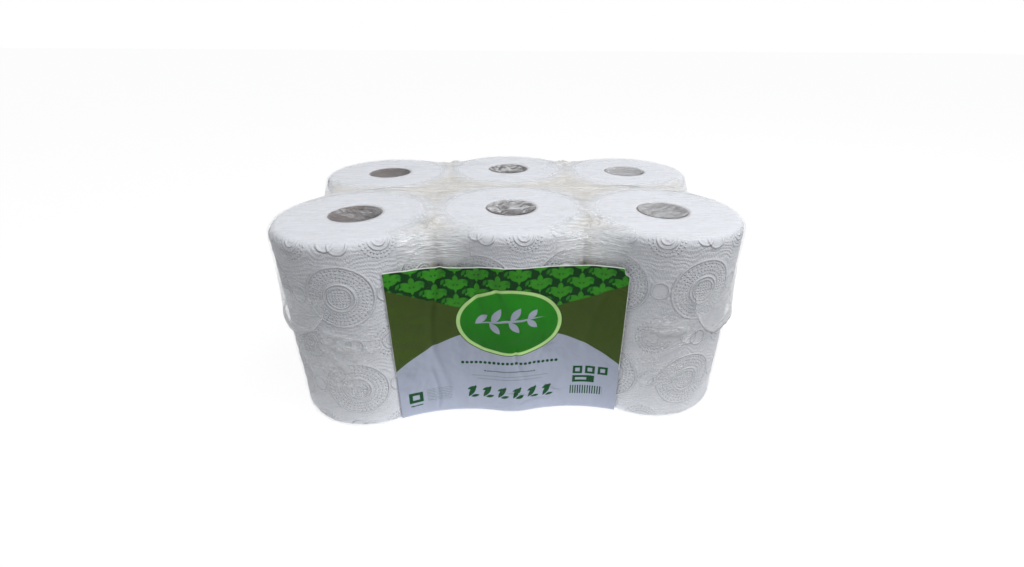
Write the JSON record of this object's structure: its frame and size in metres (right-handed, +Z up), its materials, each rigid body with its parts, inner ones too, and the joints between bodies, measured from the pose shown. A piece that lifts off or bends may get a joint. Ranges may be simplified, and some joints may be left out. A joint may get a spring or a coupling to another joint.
{
  "type": "pack of hand towel rolls",
  "caption": "Rectangular pack of upright wound paper towel rolls with cardboard cores, held in a clear film bag with a folded end seal at each side and a paper label on the front.",
  "frame": {"origin": "middle of the pack's footprint, on the surface that it stands on", "axes": "+X along the rows to the right, +Y from the labelled front to the back, +Z up along the rolls"},
  "size_m": [0.483, 0.3386, 0.2112],
  "materials": {
    "tissue": "embossed white paper towel, matt and soft",
    "cardboard": "grey-brown wound cardboard, matt",
    "label_paper": "printed paper in dark green, olive and pale lilac, satin",
    "film": "thin clear film, glossy, with creases"
  },
  "bodies": {
    "root": {"roll_front_left": "tissue", "roll_front_middle": "tissue", "roll_front_right": "tissue", "roll_back_left": "tissue", "roll_back_middle": "tissue", "roll_back_right": "tissue", "core_front_left": "cardboard", "core_front_middle": "cardboard", "core_front_right": "cardboard", "core_back_left": "cardboard", "core_back_middle": "cardboard", "core_back_right": "cardboard", "label": "label_paper", "film_bag": "film"}
  },
  "joints": []
}
